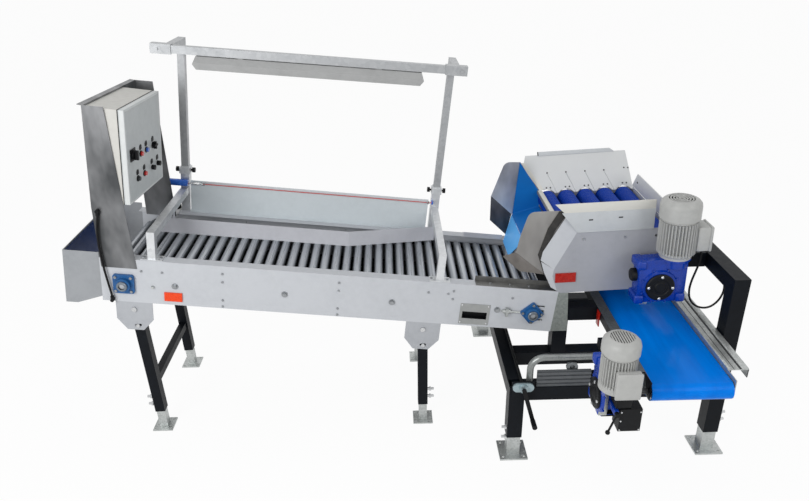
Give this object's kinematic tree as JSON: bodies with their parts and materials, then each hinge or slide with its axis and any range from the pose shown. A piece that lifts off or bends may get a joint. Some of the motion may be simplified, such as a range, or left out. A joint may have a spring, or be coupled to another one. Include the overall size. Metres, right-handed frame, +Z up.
{
  "type": "roller inspection table",
  "caption": "Sloping roller inspection table on adjustable legs, with lamp frame, control cabinet, discharge box, spiral roller cleaner, chute and cross belt on a dark tube frame.",
  "frame": {"origin": "centre of the footprint on the floor, without the free cables", "axes": "+X along the table from the discharge end to the cleaner, +Y from the operators' side to the back, +Z up"},
  "size_m": [3.489, 1.886, 2.0971],
  "materials": {
    "panel": "satin light grey powder coat",
    "galvanised": "galvanised",
    "stainless": "brushed stainless sheet",
    "dark": "anthracite powder coat",
    "box": "beige grey powder coat",
    "roller": "worn grey tube",
    "shaft": "bright steel",
    "spiral": "moulded blue",
    "belt": "smooth blue belt",
    "liner": "soft blue sheet",
    "flap": "grey white sheet",
    "gear": "blue and light grey paint",
    "bearing": "blue paint",
    "black": "black moulded",
    "cable": "black sheath",
    "fitting": "grey plate and red reflectors",
    "bolt": "zinc plated",
    "switch": "blue paint",
    "lamp": "grey housing",
    "screen": "light sheet",
    "red": "moulded red",
    "blue": "moulded blue",
    "green": "moulded green"
  },
  "bodies": {
    "table": {"front_side_panel": "panel", "rear_side_panel": "panel", "cross_members": "galvanised", "discharge_box": "panel", "flange_bearings": "bearing", "panel_fittings": "fitting", "table_brackets": "galvanised", "guide_plates": "stainless", "lamp_stands": "panel", "back_screen": "screen", "rope_switch": "switch", "cabinet_plates": "stainless", "control_box": "box", "plastic_fittings": "black", "fasteners": "bolt", "liners": "liner", "cabinet_cable": "cable", "motor_cable": "cable", "main_frame": "dark", "cleaner_panels": "panel", "rubber_flaps": "flap", "chute_plates": "stainless", "gear_motors": "gear", "waste_belt": "belt", "belt_rails": "galvanised"},
    "left_legs": {"left_leg_frame": "dark"},
    "left_foot_front": {"left_foot_front": "galvanised"},
    "left_foot_rear": {"left_foot_rear": "galvanised"},
    "middle_leg_front": {"middle_leg_front": "dark"},
    "middle_leg_rear": {"middle_leg_rear": "dark"},
    "middle_foot_front": {"middle_foot_front": "galvanised"},
    "middle_foot_rear": {"middle_foot_rear": "galvanised"},
    "lamp": {"lamp_frame": "panel", "lamp_housing": "lamp"},
    "door": {"control_door": "box"},
    "main_switch": {"main_switch": "black"},
    "red_button": {"red_button": "red"},
    "blue_button": {"blue_button": "blue"},
    "mode_selector": {"mode_selector": "black"},
    "start_button": {"start_button": "green"},
    "stop_button": {"stop_button": "red"},
    "speed_knob_1": {"speed_knob_1": "black"},
    "speed_knob_2": {"speed_knob_2": "black"},
    "top_strand": {"top_strand": "roller"},
    "return_strand": {"return_strand": "roller"},
    "head_shaft": {"head_shaft": "shaft"},
    "tail_shaft": {"tail_shaft": "shaft"},
    "frame_foot_1": {"frame_foot_1": "galvanised"},
    "frame_foot_2": {"frame_foot_2": "galvanised"},
    "frame_foot_3": {"frame_foot_3": "galvanised"},
    "frame_foot_4": {"frame_foot_4": "galvanised"},
    "spiral_roller_1": {"spiral_roller_1": "spiral"},
    "spiral_roller_2": {"spiral_roller_2": "spiral"},
    "spiral_roller_3": {"spiral_roller_3": "spiral"},
    "spiral_roller_4": {"spiral_roller_4": "spiral"},
    "spiral_roller_5": {"spiral_roller_5": "spiral"},
    "drive_drum": {"drive_drum": "shaft"},
    "tail_drum": {"tail_drum": "shaft"},
    "crank": {"crank": "black"},
    "lock_lever": {"lock_lever": "black"}
  },
  "joints": [
    {"name": "left_legs_swing", "type": "hinge", "parent": "table", "child": "left_legs", "pos_m": [-1.39848, 0.248, 0.79859], "axis": [0, 1, 0], "range_deg": [-5, 5]},
    {"name": "middle_leg_front_swing", "type": "hinge", "parent": "table", "child": "middle_leg_front", "pos_m": [0.1331, -0.0682, 0.62842], "axis": [0, 1, 0], "range_deg": [-5, 5]},
    {"name": "middle_leg_rear_swing", "type": "hinge", "parent": "table", "child": "middle_leg_rear", "pos_m": [0.1331, 0.5642, 0.62842], "axis": [0, 1, 0], "range_deg": [-5, 5]},
    {"name": "left_foot_front_height", "type": "slide", "parent": "left_legs", "child": "left_foot_front", "axis": [0.0349, 0, -0.9994], "range_m": [-0.09, 0.09]},
    {"name": "middle_foot_front_height", "type": "slide", "parent": "middle_leg_front", "child": "middle_foot_front", "axis": [0, 0, -1], "range_m": [-0.09, 0.09]},
    {"name": "left_foot_rear_height", "type": "slide", "parent": "left_legs", "child": "left_foot_rear", "axis": [0.0349, 0, -0.9994], "range_m": [-0.09, 0.09]},
    {"name": "middle_foot_rear_height", "type": "slide", "parent": "middle_leg_rear", "child": "middle_foot_rear", "axis": [0, 0, -1], "range_m": [-0.09, 0.09]},
    {"name": "frame_foot_1_height", "type": "slide", "parent": "table", "child": "frame_foot_1", "axis": [0, 0, -1], "range_m": [-0.09, 0.11]},
    {"name": "frame_foot_2_height", "type": "slide", "parent": "table", "child": "frame_foot_2", "axis": [0, 0, -1], "range_m": [-0.09, 0.11]},
    {"name": "frame_foot_3_height", "type": "slide", "parent": "table", "child": "frame_foot_3", "axis": [0, 0, -1], "range_m": [-0.09, 0.11]},
    {"name": "frame_foot_4_height", "type": "slide", "parent": "table", "child": "frame_foot_4", "axis": [0, 0, -1], "range_m": [-0.09, 0.11]},
    {"name": "lamp_height", "type": "slide", "parent": "table", "child": "lamp", "axis": [0.1104, 0, 0.9939], "range_m": [-0.08, 0.12]},
    {"name": "door_swing", "type": "hinge", "parent": "table", "child": "door", "pos_m": [-1.26571, 0.33714, 1.62096], "axis": [0.1104, 0, 0.9939], "range_deg": [0, 110]},
    {"name": "red_button_press", "type": "slide", "parent": "door", "child": "red_button", "axis": [-0.9908, 0.0785, 0.1101], "range_m": [0, 0.004], "stiffness_N_per_m": 600},
    {"name": "blue_button_press", "type": "slide", "parent": "door", "child": "blue_button", "axis": [-0.9908, 0.0785, 0.1101], "range_m": [0, 0.004], "stiffness_N_per_m": 600},
    {"name": "start_button_press", "type": "slide", "parent": "door", "child": "start_button", "axis": [-0.9908, 0.0785, 0.1101], "range_m": [0, 0.004], "stiffness_N_per_m": 600},
    {"name": "stop_button_press", "type": "slide", "parent": "door", "child": "stop_button", "axis": [-0.9908, 0.0785, 0.1101], "range_m": [0, 0.004], "stiffness_N_per_m": 600},
    {"name": "main_switch_turn", "type": "hinge", "parent": "door", "child": "main_switch", "pos_m": [-1.28086, -0.03925, 1.62566], "axis": [0.9908, -0.0785, -0.1101], "range_deg": [0, 90]},
    {"name": "mode_selector_turn", "type": "hinge", "parent": "door", "child": "mode_selector", "pos_m": [-1.26352, 0.21343, 1.6016], "axis": [0.9908, -0.0785, -0.1101], "range_deg": [-45, 45]},
    {"name": "speed_knob_1_turn", "type": "hinge", "parent": "door", "child": "speed_knob_1", "pos_m": [-1.27816, 0.18729, 1.48852], "axis": [0.9908, -0.0785, -0.1101], "range_deg": [-135, 135]},
    {"name": "speed_knob_2_turn", "type": "hinge", "parent": "door", "child": "speed_knob_2", "pos_m": [-1.27236, 0.26136, 1.48788], "axis": [0.9908, -0.0785, -0.1101], "range_deg": [-135, 135]},
    {"name": "chain_travel", "type": "slide", "parent": "table", "child": "top_strand", "axis": [-0.9939, 0, 0.1104], "range_m": [0, 0.06]},
    {"name": "return_travel", "type": "slide", "parent": "table", "child": "return_strand", "axis": [0.9939, 0, -0.1104], "range_m": [-0.0001, 0.0601]},
    {"name": "head_turn", "type": "hinge", "parent": "table", "child": "head_shaft", "pos_m": [-1.42344, 0.248, 0.9543], "axis": [0, -1, 0], "range_deg": [-0.01, 45.01]},
    {"name": "tail_turn", "type": "hinge", "parent": "table", "child": "tail_shaft", "pos_m": [0.72335, 0.248, 0.71577], "axis": [0, -1, 0], "range_deg": [-0.01, 45.01]},
    {"name": "spiral_1_turn", "type": "hinge", "parent": "table", "child": "spiral_roller_1", "pos_m": [0.92346, 0.248, 1.10397], "axis": [0, 1, 0], "continuous": true},
    {"name": "spiral_2_turn", "type": "hinge", "parent": "table", "child": "spiral_roller_2", "pos_m": [1.03889, 0.248, 1.108], "axis": [0, 1, 0], "continuous": true},
    {"name": "spiral_3_turn", "type": "hinge", "parent": "table", "child": "spiral_roller_3", "pos_m": [1.15432, 0.248, 1.11203], "axis": [0, 1, 0], "continuous": true},
    {"name": "spiral_4_turn", "type": "hinge", "parent": "table", "child": "spiral_roller_4", "pos_m": [1.26975, 0.248, 1.11607], "axis": [0, 1, 0], "continuous": true},
    {"name": "spiral_5_turn", "type": "hinge", "parent": "table", "child": "spiral_roller_5", "pos_m": [1.38518, 0.248, 1.1201], "axis": [0, 1, 0], "continuous": true},
    {"name": "drive_drum_turn", "type": "hinge", "parent": "table", "child": "drive_drum", "pos_m": [1.32946, -0.757, 0.66997], "axis": [1, 0, 0], "continuous": true},
    {"name": "tail_drum_turn", "type": "hinge", "parent": "table", "child": "tail_drum", "pos_m": [1.32946, 0.558, 0.66997], "axis": [1, 0, 0], "continuous": true},
    {"name": "crank_turn", "type": "hinge", "parent": "table", "child": "crank", "pos_m": [0.63546, -0.437, 0.46], "axis": [0, 1, 0], "continuous": true},
    {"name": "lock_lever_turn", "type": "hinge", "parent": "table", "child": "lock_lever", "pos_m": [0.95046, -0.894, 0.65797], "axis": [0, 1, 0], "range_deg": [-60, 60]}
  ],
  "couplings": [
    {"joint": "return_travel", "follows": "chain_travel", "ratio": 1},
    {"joint": "head_turn", "follows": "chain_travel", "rad_per_m": 13.09},
    {"joint": "tail_turn", "follows": "chain_travel", "rad_per_m": 13.09},
    {"joint": "spiral_2_turn", "follows": "spiral_1_turn", "ratio": 1},
    {"joint": "spiral_3_turn", "follows": "spiral_1_turn", "ratio": 1},
    {"joint": "spiral_4_turn", "follows": "spiral_1_turn", "ratio": 1},
    {"joint": "spiral_5_turn", "follows": "spiral_1_turn", "ratio": 1},
    {"joint": "tail_drum_turn", "follows": "drive_drum_turn", "ratio": 1}
  ]
}
